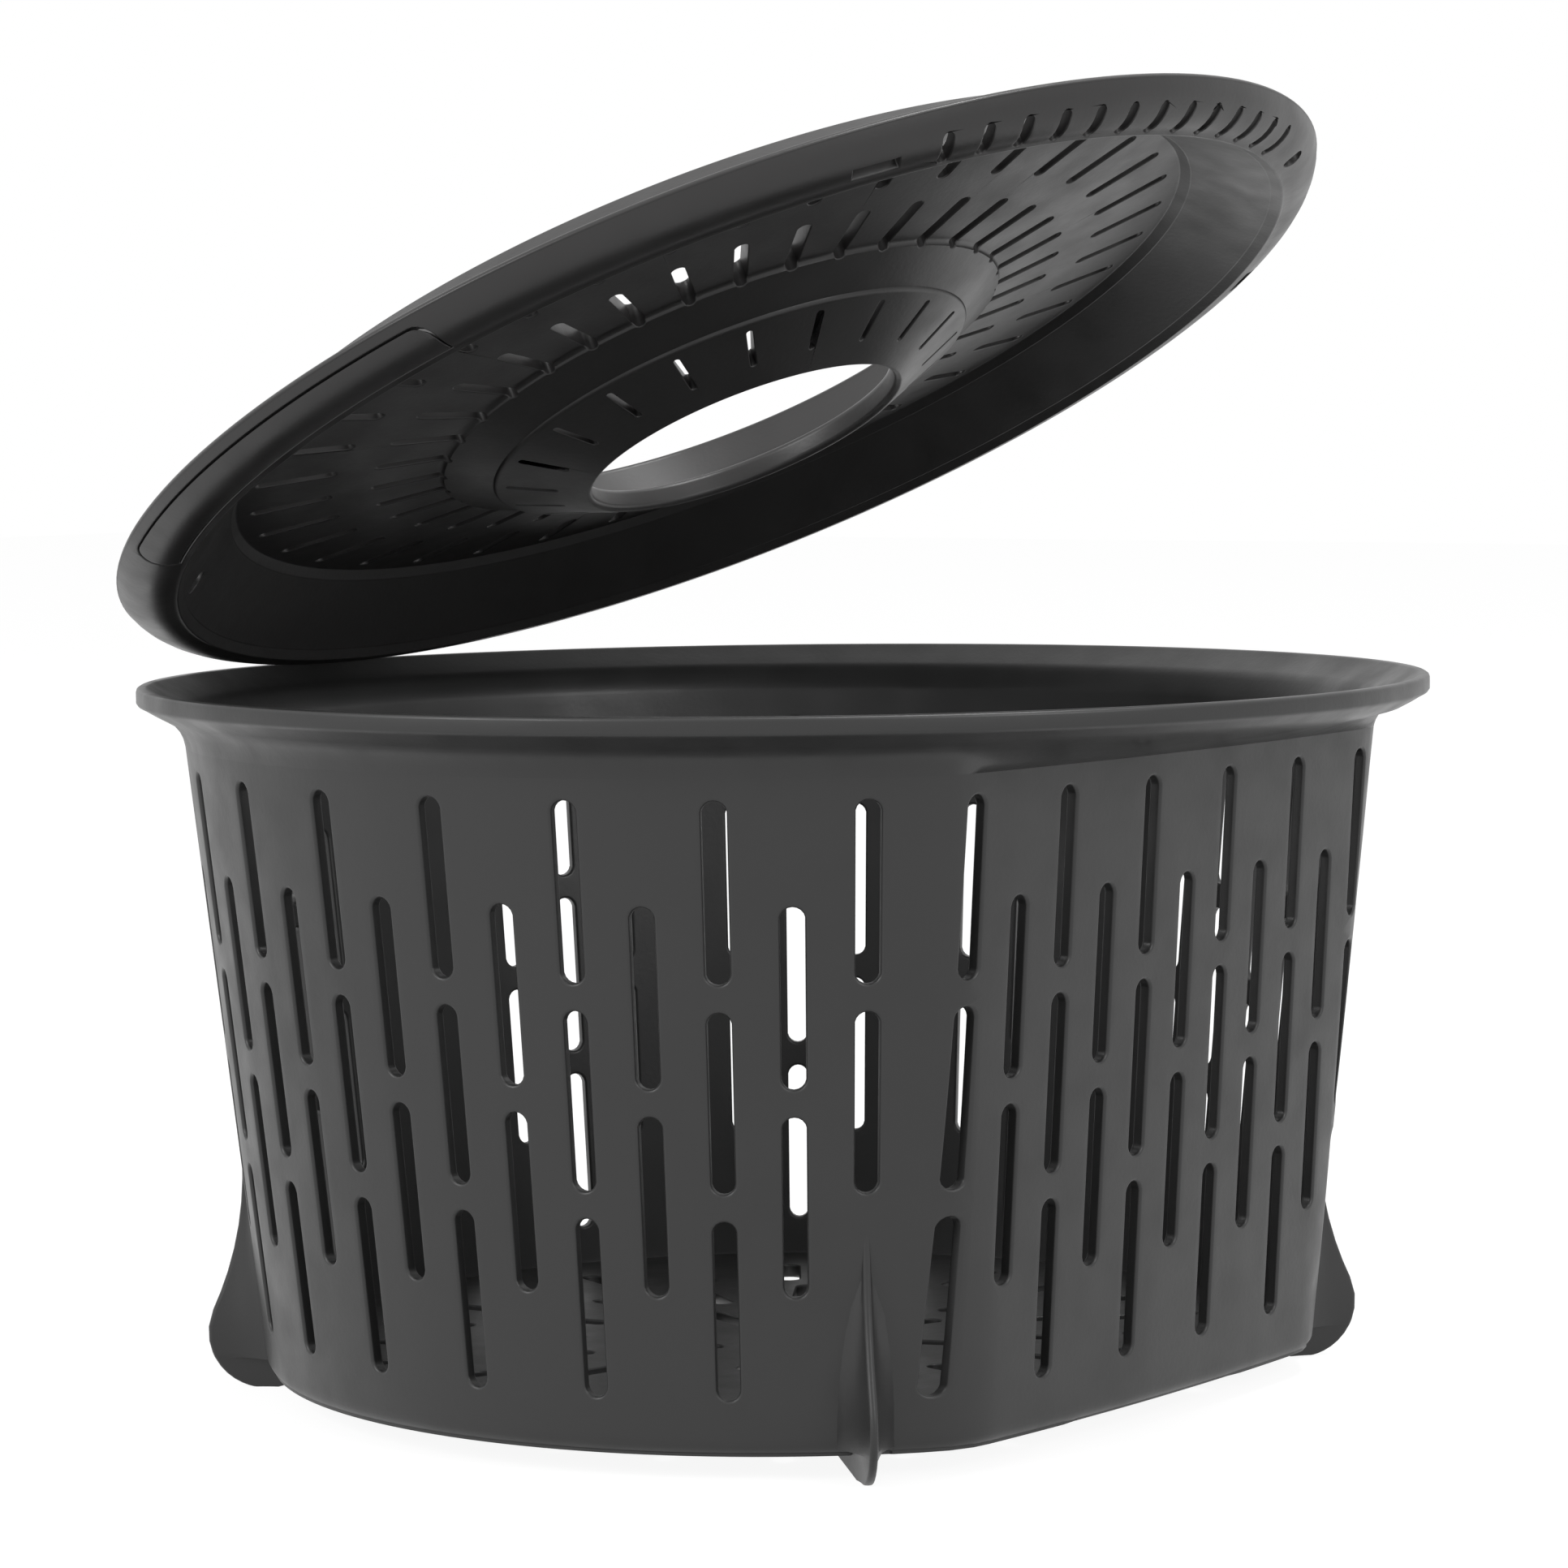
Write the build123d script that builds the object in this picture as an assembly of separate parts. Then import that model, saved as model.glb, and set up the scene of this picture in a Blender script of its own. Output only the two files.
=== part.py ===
from build123d import *
from math import atan2, cos, degrees, hypot, radians, sin, sqrt, tan
import os

# Draining basket with a vented lid, tilted open.
# Millimetres, +Z up. The origin is on the basket's axis in the plane of its feet.
# The flat wall faces -Y, and an azimuth is counted from -Y towards +X.

# Basket sizes
RIM_RADIUS = 110.0
RIM_TOP = 121.0
RIM_BAND = 3.0
RIM_LIP = 2.2
COLLAR_UNDERCUT = 1.0
COLLAR_STEP_INSET = 4.5
COLLAR_STEP_DROP = 1.8
GUTTER_INSET = 7.4
GUTTER_CLEARANCE = 1.5
GUTTER_SLOPE = 4.3
LEDGE = 2.0
WALL = 2.2
WALL_INSET = 7.0
WALL_TAPER = 6.4
FLAT_INSET = 25.7
FLAT_BULGE_RADIUS = 620.0
FLAT_TAPER = 3.8
CORNER_RADIUS = 16.0
FLOOR = 2.5
FLOOR_EDGE = 2.0

# Wall slots
SLOT_WIDTH = 4.0
SLOT_GAP = 4.2
ROWS = 3
FIRST_SLOT_DROP = 13.3
LAST_SLOT_RISE = 6.6
ROUND_COLUMNS = 21
CORNER_SETBACK = 4.5
FLAT_COLUMNS = 6
FLAT_SETBACK = 1.0
SIDE_STRETCHES = (3, 4, 4, 4, 4)

# Floor slots
FLOOR_SLOT_WIDTH = 4.0
FLOOR_RINGS = 3
FLOOR_RING_SLOTS = 8
FLOOR_BAR = 5.0
FLOOR_MARGIN = 15.7

# Feet
FOOT_DROP = 4.0
FOOT_COLUMN = 7
FOOT_PROUD = 0.6
FOOT_LOBE = 9.7
FOOT_TOP_SETBACK = 1.8
FOOT_FLAT = 0.25
FOOT_SHOULDER_ANGLE = 25.0
FOOT_ROOT_WIDTH = 8.4
FOOT_EDGE_WIDTH = 1.4
FOOT_TIP_WIDTH = 1.4
FOOT_TIP_HEIGHT = 6.0

# Lid sizes, heights counted from the lid's own base plane
LID_EDGE_INSET = 0.5
LID_WALL = 2.2
LID_LIP_HEIGHT = 4.5
LID_BAND_WIDTH = 8.5
LID_FOLD_DROP = 1.0
LID_NOSE_INSET = 2.3
LID_NOSE_DROP = 3.6
SHOULDER_WIDTH = 14.0
CROWN_HEIGHT = 11.0
CROWN_EDGE = 2.5
VENT_RING_WIDTH = 40.0
HUB_WIDTH = 18.7
HUB_DROP = 3.8
HUB_CORNER = 3.0
HUB_CONE_DROP = 1.9
LID_CLEARANCE = 0.3
LID_OPEN_ANGLE = 25.9

# Lid slots
LID_SLOT_WIDTH = 2.4
LID_SLOTS = 36
LID_SLOT_WEB = 7.0
OUTER_SLOT_LENGTH = 14.0
VENT_INNER_MARGIN = 4.0
VENT_OUTER_MARGIN = 3.0
RIM_SLOTS = 13
RIM_SLOT_PITCH = 4.0
RIM_SLOT_AZIMUTH = -5.3
RIM_SLOT_WIDTH = 2.0
RIM_SLOT_MARGINS = (0.4, 2.3)
HUB_SLITS = 20
HUB_SLIT_WIDTH = 1.4
HUB_SLIT_MARGINS = (4.7, 5.0)
TAB_WINDOW_AZIMUTHS = (-36.0, 61.0)
TAB_WINDOW = (2.2, 8.0)
PIN_HOLE_RADIUS = 1.8
PIN_HOLE_AZIMUTH = 26.0
SHOULDER_HOLE_AZIMUTH = -136.0
SHOULDER_HOLE_INSET = 4.5
PANEL_AZIMUTH = -99.0
PANEL_SPAN = 46.0
PANEL_SETBACK = 1.9
PANEL_GAP = 0.25

WALL_RADIUS = RIM_RADIUS - WALL_INSET
FLAT_DISTANCE = RIM_RADIUS - FLAT_INSET
FLAT_CENTRE = FLAT_BULGE_RADIUS - FLAT_DISTANCE
FLOOR_TOP = FOOT_DROP + FLOOR
SLOTTED_HEIGHT = RIM_TOP - FIRST_SLOT_DROP - FLOOR_TOP - LAST_SLOT_RISE
SLOT_LENGTH = (SLOTTED_HEIGHT + SLOT_GAP) / ROWS - SLOT_GAP
FOOT_TOP = FLOOR_TOP + LAST_SLOT_RISE + SLOT_LENGTH - FOOT_TOP_SETBACK
LID_RADIUS = RIM_RADIUS - LID_EDGE_INSET
LID_FOLD_RADIUS = LID_RADIUS - LID_BAND_WIDTH
CROWN_RADIUS = LID_FOLD_RADIUS - SHOULDER_WIDTH
CROWN_TOP = CROWN_HEIGHT + LID_WALL
HUB_RADIUS = CROWN_RADIUS - VENT_RING_WIDTH
HUB_HOLE_RADIUS = HUB_RADIUS - HUB_WIDTH
RIM_SLOT_SPAN = (LID_FOLD_RADIUS + RIM_SLOT_MARGINS[0], LID_RADIUS - RIM_SLOT_MARGINS[1])
TAB_CIRCLE = sum(RIM_SLOT_SPAN) / 2
REACH = 2.0 * RIM_RADIUS


def at(radius, azimuth, height=0.0):
    """A point in the part's frame from a radius and an azimuth in degrees."""
    return Vector(radius * sin(radians(azimuth)), -radius * cos(radians(azimuth)), height)


def wall_radius(height):
    return WALL_RADIUS - (RIM_TOP - height) * tan(radians(WALL_TAPER))


def flat_distance(height):
    return FLAT_DISTANCE - (RIM_TOP - height) * tan(radians(FLAT_TAPER))


# Seat of the lid: its rounded band rests on the inner edge of the basket's lip
def nose_points():
    """Lip, belly and fold of the band's underside."""
    return (
        (LID_RADIUS, LID_LIP_HEIGHT),
        (LID_RADIUS - LID_NOSE_INSET, LID_LIP_HEIGHT - LID_NOSE_DROP),
        (LID_FOLD_RADIUS, -LID_FOLD_DROP),
    )


def seat_height():
    """Height of the band's underside, in the lid's frame, over the inner edge of the basket's lip."""
    (x1, y1), (x2, y2), (x3, y3) = nose_points()
    twice_area = 2 * (x1 * (y2 - y3) + x2 * (y3 - y1) + x3 * (y1 - y2))
    s1, s2, s3 = x1 * x1 + y1 * y1, x2 * x2 + y2 * y2, x3 * x3 + y3 * y3
    centre_x = (s1 * (y2 - y3) + s2 * (y3 - y1) + s3 * (y1 - y2)) / twice_area
    centre_y = (s1 * (x3 - x2) + s2 * (x1 - x3) + s3 * (x2 - x1)) / twice_area
    radius = hypot(x1 - centre_x, y1 - centre_y)
    return centre_y - sqrt(radius ** 2 - (RIM_RADIUS - RIM_LIP - centre_x) ** 2)


GUTTER_DROP = GUTTER_CLEARANCE + LID_FOLD_DROP + seat_height() - LID_CLEARANCE
GUTTER_FOOT_DROP = GUTTER_DROP + GUTTER_SLOPE
COLLAR_FOOT = RIM_TOP - GUTTER_FOOT_DROP - LEDGE


# Basket outline: a circle cut by one shallow arc, with rounded corners
def outline_points(height, inset):
    """Tangent points and corner middles of the outline's right half."""
    round_r = wall_radius(height) - inset
    flat_r = flat_distance(height) + FLAT_CENTRE - inset
    corner = CORNER_RADIUS - inset
    y = ((round_r - corner) ** 2 - (flat_r - corner) ** 2 + FLAT_CENTRE ** 2) / (2 * FLAT_CENTRE)
    x = sqrt((round_r - corner) ** 2 - y ** 2)
    to_round = Vector(x, y) / (round_r - corner)
    to_flat = Vector(x, y - FLAT_CENTRE) / (flat_r - corner)
    on_round = to_round * round_r
    on_flat = Vector(0, FLAT_CENTRE) + to_flat * flat_r
    middle = Vector(x, y) + (to_round + to_flat).normalized() * corner
    return on_round, middle, on_flat, Vector(0, round_r), Vector(0, FLAT_CENTRE - flat_r)


CORNER_ON_ROUND, _, CORNER_ON_FLAT = outline_points(COLLAR_FOOT, 0.0)[:3]
FIRST_COLUMN = degrees(atan2(CORNER_ON_ROUND.X, -CORNER_ON_ROUND.Y)) + CORNER_SETBACK
COLUMN_PITCH = (360 - 2 * FIRST_COLUMN) / (ROUND_COLUMNS - 1)
FLAT_COLUMN_PITCH = 2 * (CORNER_ON_FLAT.X - FLAT_SETBACK) / (FLAT_COLUMNS - 1)
WALL_SIDE = FIRST_COLUMN - COLUMN_PITCH / 4
FLAT_SIDE = degrees(atan2((FLAT_COLUMNS - 1.5) * FLAT_COLUMN_PITCH / 2, flat_distance(RIM_TOP / 2)))


def closed_outline(on_round, middle, on_flat, back, front, height):
    """A face bounded by the back arc, two corners and the front arc."""
    def left(point):
        return Vector(-point.X, point.Y)
    edges = [
        ThreePointArc(on_round, back, left(on_round)),
        ThreePointArc(left(on_round), left(middle), left(on_flat)),
        ThreePointArc(left(on_flat), front, on_flat),
        ThreePointArc(on_flat, middle, on_round),
    ]
    return Pos(0, 0, height) * make_face(Wire(edges))


def outline(height, inset=0.0):
    return closed_outline(*outline_points(height, inset), height)


def round_outline(radius, height):
    """A circle split at the outline's own azimuths, so that the two blend."""
    points = outline_points(COLLAR_FOOT, 0.0)
    return closed_outline(*[point.normalized() * radius for point in points], height)


def blend(*sections):
    """A solid through the sections from the bottom to the top, with straight sides."""
    solid = None
    for low, high in zip(sections, sections[1:]):
        step = loft([low, high], ruled=True)
        solid = step if solid is None else solid + step
    return solid


def sector(start, end):
    """A tall wedge between two azimuths, for cutting one stretch of a ring."""
    middle = (start + end) / 2
    edges = [
        Line((0, 0), at(REACH, start)),
        ThreePointArc(at(REACH, start), at(REACH, middle), at(REACH, end)),
        Line(at(REACH, end), (0, 0)),
    ]
    return extrude(make_face(Wire(edges)), 2 * RIM_TOP, both=True)


# Rim: a round band, a collar below it and a gutter inside it.
# The wide ledge over the flat wall is its own stretch.
def basket_rim():
    band = Pos(0, 0, RIM_TOP - RIM_BAND) * Cylinder(
        RIM_RADIUS, RIM_BAND, align=(Align.CENTER, Align.CENTER, Align.MIN))
    band = fillet(band.edges().filter_by(GeomType.CIRCLE), RIM_LIP / 4)
    collar = blend(
        outline(COLLAR_FOOT),
        round_outline(RIM_RADIUS - COLLAR_STEP_INSET, RIM_TOP - GUTTER_DROP - COLLAR_STEP_DROP),
        round_outline(RIM_RADIUS - COLLAR_UNDERCUT, RIM_TOP - RIM_BAND),
    )
    hollow = blend(
        outline(COLLAR_FOOT, WALL),
        outline(RIM_TOP - GUTTER_FOOT_DROP, WALL),
        round_outline(RIM_RADIUS - GUTTER_INSET, RIM_TOP - GUTTER_DROP),
        round_outline(RIM_RADIUS - RIM_LIP, RIM_TOP),
    )
    ring = band + collar - hollow
    return {
        "basket_rim": ring & sector(WALL_SIDE, 360 - WALL_SIDE),
        "basket_ledge": ring & sector(-WALL_SIDE, WALL_SIDE),
    }


# Walls: one tapered shell, slotted, in stretches that end between two slot columns
def wall_blank():
    return loft([outline(FLOOR_TOP), outline(COLLAR_FOOT)], ruled=True)


def slot_height(row):
    return RIM_TOP - FIRST_SLOT_DROP - SLOT_LENGTH / 2 - row * (SLOT_LENGTH + SLOT_GAP)


def slot_at(origin, outward):
    """A cutter for one upright slot, centred in the wall."""
    plane = Plane(origin=origin, x_dir=(0, 0, 1), z_dir=outward)
    return extrude(plane * SlotOverall(SLOT_LENGTH, SLOT_WIDTH), 3 * WALL, both=True)


def column_rows(half_step):
    """Rows of a column: full columns have all rows, the columns between have one less."""
    if half_step % 2:
        return [row + 0.5 for row in range(ROWS - 1)]
    return range(ROWS)


def foot_columns():
    return (0, FOOT_COLUMN, ROUND_COLUMNS - 1 - FOOT_COLUMN, ROUND_COLUMNS - 1)


def column_azimuth(column):
    return FIRST_COLUMN + column * COLUMN_PITCH


def round_slots(first, last):
    """Cutters for the round wall's half steps from first to last; a foot takes its column's last row."""
    cutters = []
    for half_step in range(first, last + 1):
        azimuth = column_azimuth(half_step / 2)
        rows = column_rows(half_step)
        if half_step / 2 in foot_columns():
            rows = rows[:-1]
        for row in rows:
            height = slot_height(row)
            cutters.append(slot_at(at(wall_radius(height) - WALL / 2, azimuth, height), at(1, azimuth)))
    return cutters


def flat_slots(first, last):
    """Cutters for the flat wall's half steps from first to last, cut straight in."""
    cutters = []
    for half_step in range(first, last + 1):
        across = (half_step - (FLAT_COLUMNS - 1)) * FLAT_COLUMN_PITCH / 2
        for row in column_rows(half_step):
            height = slot_height(row)
            bulge = flat_distance(height) + FLAT_CENTRE - WALL / 2
            origin = Vector(across, FLAT_CENTRE - sqrt(bulge ** 2 - across ** 2), height)
            cutters.append(slot_at(origin, Vector(0, -1, 0)))
    return cutters


def walls():
    shell = wall_blank() - loft([outline(FLOOR_TOP, WALL), outline(COLLAR_FOOT, WALL)], ruled=True)
    end = 2 * FLAT_COLUMNS - 2
    nodes = {
        "basket_left_corner_wall": (shell & sector(-WALL_SIDE, -FLAT_SIDE)).cut(*flat_slots(0, 0)),
        "basket_flat_wall": (shell & sector(-FLAT_SIDE, FLAT_SIDE)).cut(*flat_slots(1, end - 1)),
        "basket_right_corner_wall": (shell & sector(FLAT_SIDE, WALL_SIDE)).cut(*flat_slots(end, end)),
    }
    steps = 2 * ROUND_COLUMNS - 1
    back = steps - 2 * sum(SIDE_STRETCHES)
    names = [f"basket_right_wall_{index + 1}" for index in range(len(SIDE_STRETCHES))]
    names += ["basket_back_wall"]
    names += [f"basket_left_wall_{index}" for index in range(len(SIDE_STRETCHES), 0, -1)]
    first = 0
    for name, count in zip(names, (*SIDE_STRETCHES, back, *reversed(SIDE_STRETCHES))):
        start = column_azimuth(first / 2 - 0.25)
        end = column_azimuth((first + count) / 2 - 0.25)
        nodes[name] = (shell & sector(start, end)).cut(*round_slots(first, first + count - 1))
        first += count
    return nodes


# Floor: a flat plate with a rounded lower edge and rings of radial drain slots
def floor_blank():
    return blend(
        outline(FOOT_DROP, FLOOR_EDGE),
        outline(FOOT_DROP + FLOOR_EDGE / 4, FLOOR_EDGE / 3),
        outline(FOOT_DROP + FLOOR_EDGE),
        outline(FLOOR_TOP),
    )


def basket_floor():
    reach = wall_radius(FLOOR_TOP) - FLOOR_MARGIN
    pitch = (reach + FLOOR_BAR / 2) / (FLOOR_RINGS + 0.5)
    cutters = []
    for ring in range(1, FLOOR_RINGS + 1):
        count = ring * FLOOR_RING_SLOTS
        for index in range(count):
            azimuth = 360 * (index + 0.5) / count
            outer = at((ring + 0.5) * pitch, azimuth)
            if -outer.Y < flat_distance(FOOT_DROP) - WALL:
                slot = Rot(0, 0, azimuth - 90) * Pos(ring * pitch, 0, FOOT_DROP) * SlotOverall(
                    pitch - FLOOR_BAR, FLOOR_SLOT_WIDTH)
                cutters.append(extrude(slot, 2 * FLOOR, both=True))
    return floor_blank().cut(*cutters)


# Feet: upright blades, wedge-shaped in plan, that stand proud of wall and floor
def foot(azimuth):
    radius = wall_radius(FOOT_DROP) + FOOT_PROUD
    lobe_z = FOOT_LOBE - FOOT_FLAT
    turn = radians(FOOT_SHOULDER_ANGLE)
    shoulder = Vector(radius + FOOT_LOBE * cos(turn), lobe_z + FOOT_LOBE * sin(turn))
    top = Vector(wall_radius(FOOT_TOP), FOOT_TOP)
    inner = radius - FOOT_LOBE
    side = make_face(Wire([
        ThreePointArc((inner, lobe_z), (radius, -FOOT_FLAT), shoulder),
        TangentArc(shoulder, top, tangent=(-sin(turn), cos(turn))),
        Line(top, (inner, FOOT_TOP)),
        Line((inner, FOOT_TOP), (inner, lobe_z)),
    ]))
    blade = extrude(Plane.XZ * side, FOOT_ROOT_WIDTH, both=True)
    edge_r = radius + FOOT_LOBE
    root_r = wall_radius(FOOT_DROP)
    plan = Polygon(
        (inner, -FOOT_ROOT_WIDTH / 2), (root_r, -FOOT_ROOT_WIDTH / 2), (edge_r, -FOOT_EDGE_WIDTH / 2),
        (edge_r, FOOT_EDGE_WIDTH / 2), (root_r, FOOT_ROOT_WIDTH / 2), (inner, FOOT_ROOT_WIDTH / 2),
        align=None)
    end = Polygon(
        (-FOOT_TIP_WIDTH / 2, 0), (FOOT_TIP_WIDTH / 2, 0), (FOOT_ROOT_WIDTH / 2, FOOT_TIP_HEIGHT),
        (FOOT_ROOT_WIDTH / 2, FOOT_TOP), (-FOOT_ROOT_WIDTH / 2, FOOT_TOP),
        (-FOOT_ROOT_WIDTH / 2, FOOT_TIP_HEIGHT),
        align=None)
    blade = blade & extrude(plan, FOOT_TOP) & extrude(Plane.YZ * end, edge_r)
    return Rot(0, 0, azimuth - 90) * blade - wall_blank() - floor_blank()


def feet():
    names = ("foot_front_right", "foot_back_right", "foot_back_left", "foot_front_left")
    return {name: foot(column_azimuth(column)) for name, column in zip(names, foot_columns())}


# Lid, modelled shut about its own axis and base plane
def turned(*edges):
    """A ring from a closed radius-height profile."""
    return revolve(Plane.XZ * make_face(Wire(edges)), Axis.Z)


def outline_of(points):
    return [Line(a, b) for a, b in zip(points, points[1:] + points[:1])]


def rim_ring():
    """The lid's outer band: a rounded fold that hangs in the basket's gutter."""
    lip, belly, fold = nose_points()
    inner_lip = (LID_RADIUS - LID_WALL, LID_LIP_HEIGHT)
    inner_belly = (belly[0] - LID_WALL, belly[1] + LID_WALL / 2)
    inner_fold = (LID_FOLD_RADIUS, LID_WALL - LID_FOLD_DROP)
    return turned(
        ThreePointArc(lip, belly, fold),
        Line(fold, inner_fold),
        ThreePointArc(inner_fold, inner_belly, inner_lip),
        Line(inner_lip, lip),
    )


def panel_zone(extra):
    """The space of the flush side panel, grown by extra on every side that meets the band."""
    half = PANEL_SPAN / 2 + degrees(extra / LID_RADIUS)
    wedge = sector(PANEL_AZIMUTH - half, PANEL_AZIMUTH + half)
    height = LID_LIP_HEIGHT - PANEL_SETBACK + extra + 2 * LID_FOLD_DROP
    slab = Pos(0, 0, -2 * LID_FOLD_DROP) * (
        Cylinder(REACH, height, align=(Align.CENTER, Align.CENTER, Align.MIN))
        - Cylinder(LID_FOLD_RADIUS + LID_WALL - extra, height, align=(Align.CENTER, Align.CENTER, Align.MIN)))
    return wedge & slab


def pin_hole(circle, azimuth):
    return Pos(at(circle, azimuth)) * Cylinder(PIN_HOLE_RADIUS, 4 * CROWN_HEIGHT)


def radial_slot(span, width, azimuth, depth, middle=0.0):
    """A cutter for one radial slot with round ends."""
    low, high = span
    slot = Rot(0, 0, azimuth - 90) * Pos((low + high) / 2, 0, middle) * SlotOverall(high - low, width)
    return extrude(slot, depth, both=True)


def ring_slots(span, width, count, depth, middle=0.0):
    """Cutters for a full ring of radial slots."""
    return [radial_slot(span, width, 360 * (k + 0.5) / count, depth, middle) for k in range(count)]


def lid_rim():
    depth = 2 * LID_LIP_HEIGHT
    cutters = [panel_zone(PANEL_GAP)]
    for index in range(RIM_SLOTS):
        azimuth = RIM_SLOT_AZIMUTH + (index - (RIM_SLOTS - 1) / 2) * RIM_SLOT_PITCH
        cutters.append(radial_slot(RIM_SLOT_SPAN, RIM_SLOT_WIDTH, azimuth, depth))
    for azimuth in TAB_WINDOW_AZIMUTHS:
        window = Rot(0, 0, azimuth - 90) * Pos(TAB_CIRCLE, 0, 0) * Rectangle(*TAB_WINDOW)
        cutters.append(extrude(window, depth, both=True))
    cutters.append(pin_hole(TAB_CIRCLE, PIN_HOLE_AZIMUTH))
    return rim_ring().cut(*cutters)


def lid_side_panel():
    return rim_ring() & panel_zone(0.0)


def lid_shoulder():
    """The cone that climbs from the fold to the crown."""
    fold_top = LID_WALL - LID_FOLD_DROP
    cone = turned(*outline_of([
        (LID_FOLD_RADIUS, -LID_FOLD_DROP),
        (LID_FOLD_RADIUS - LID_WALL, LID_WALL / 4 - LID_FOLD_DROP),
        (CROWN_RADIUS + CROWN_EDGE, CROWN_HEIGHT - LID_WALL / 2),
        (CROWN_RADIUS, CROWN_HEIGHT),
        (CROWN_RADIUS, CROWN_TOP),
        (CROWN_RADIUS + CROWN_EDGE, CROWN_TOP - LID_WALL / 4),
        (LID_FOLD_RADIUS - LID_WALL / 4, fold_top + LID_WALL / 4),
        (LID_FOLD_RADIUS, fold_top),
    ]))
    return cone - pin_hole(LID_FOLD_RADIUS - SHOULDER_HOLE_INSET, SHOULDER_HOLE_AZIMUTH)


def lid_vent_plate():
    """The crown's flat ring, with two rings of radial slots."""
    plate = turned(*outline_of([
        (HUB_RADIUS, CROWN_HEIGHT),
        (CROWN_RADIUS, CROWN_HEIGHT),
        (CROWN_RADIUS, CROWN_TOP),
        (HUB_RADIUS, CROWN_TOP),
    ]))
    outer_end = CROWN_RADIUS - VENT_OUTER_MARGIN
    outer_start = outer_end - OUTER_SLOT_LENGTH
    inner = (HUB_RADIUS + VENT_INNER_MARGIN, outer_start - LID_SLOT_WEB)
    cutters = ring_slots(inner, LID_SLOT_WIDTH, LID_SLOTS, 2 * CROWN_TOP)
    cutters += ring_slots((outer_start, outer_end), LID_SLOT_WIDTH, LID_SLOTS, 2 * CROWN_TOP)
    return plate.cut(*cutters)


# Hub: an upright ring and a dished base round the central hole, with fine slits
def hub_seam():
    """The line, outside then inside, where the hub's ring meets its base."""
    outer = (HUB_RADIUS - LID_WALL / 2, HUB_CORNER / 2 - HUB_DROP)
    inner = (HUB_RADIUS - 1.5 * LID_WALL, HUB_CORNER / 2 - HUB_DROP + LID_WALL)
    return outer, inner


def lid_hub_ring():
    outer, inner = hub_seam()
    return turned(*outline_of([
        outer,
        (HUB_RADIUS - LID_WALL / 4, HUB_CORNER - HUB_DROP),
        (HUB_RADIUS, CROWN_HEIGHT),
        (HUB_RADIUS, CROWN_TOP),
        (HUB_RADIUS - LID_WALL, CROWN_TOP - LID_WALL / 2),
        inner,
    ]))


def lid_hub_base():
    outer, inner = hub_seam()
    hole_base = -HUB_DROP - HUB_CONE_DROP
    base = turned(*outline_of([
        (HUB_HOLE_RADIUS, hole_base),
        (HUB_RADIUS - HUB_CORNER - LID_WALL / 2, -HUB_DROP),
        outer,
        inner,
        (HUB_RADIUS - 1.5 * LID_WALL - HUB_CORNER / 2, LID_WALL - HUB_DROP),
        (HUB_HOLE_RADIUS, hole_base + LID_WALL),
    ]))
    span = (HUB_HOLE_RADIUS + HUB_SLIT_MARGINS[0], HUB_RADIUS - HUB_SLIT_MARGINS[1])
    return base.cut(*ring_slots(span, HUB_SLIT_WIDTH, HUB_SLITS, 4 * LID_WALL, -HUB_DROP))


def tilt_open(shape):
    """Seats the shut lid on the rim, then tilts it about the hinge line at the back."""
    shut = Pos(0, 0, RIM_TOP + LID_CLEARANCE - seat_height()) * shape
    hinge = Axis((0, RIM_RADIUS - RIM_LIP, RIM_TOP + LID_CLEARANCE), (-1, 0, 0))
    return shut.rotate(hinge, LID_OPEN_ANGLE)


def main():
    nodes = {**basket_rim(), **walls(), "basket_floor": basket_floor(), **feet()}
    lid = {
        "lid_rim": lid_rim(),
        "lid_side_panel": lid_side_panel(),
        "lid_shoulder": lid_shoulder(),
        "lid_vent_plate": lid_vent_plate(),
        "lid_hub_ring": lid_hub_ring(),
        "lid_hub_base": lid_hub_base(),
    }
    for name, shape in lid.items():
        nodes[name] = tilt_open(shape)
    os.makedirs("parts", exist_ok=True)
    for name, shape in nodes.items():
        export_step(shape, f"parts/{name}.step")
    print("first column at", round(FIRST_COLUMN, 3), "degrees, slots", round(SLOT_LENGTH, 3), "long")
    print("flat columns", round(FLAT_COLUMN_PITCH, 3), "apart, gutter drop", round(GUTTER_DROP, 3))
    print("seat height of the shut lid", round(seat_height(), 3))


main()
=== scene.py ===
import bpy
import bmesh
from math import atan2, cos, hypot, pi, radians, sin, sqrt, tan
from mathutils import Matrix, Vector


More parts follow.
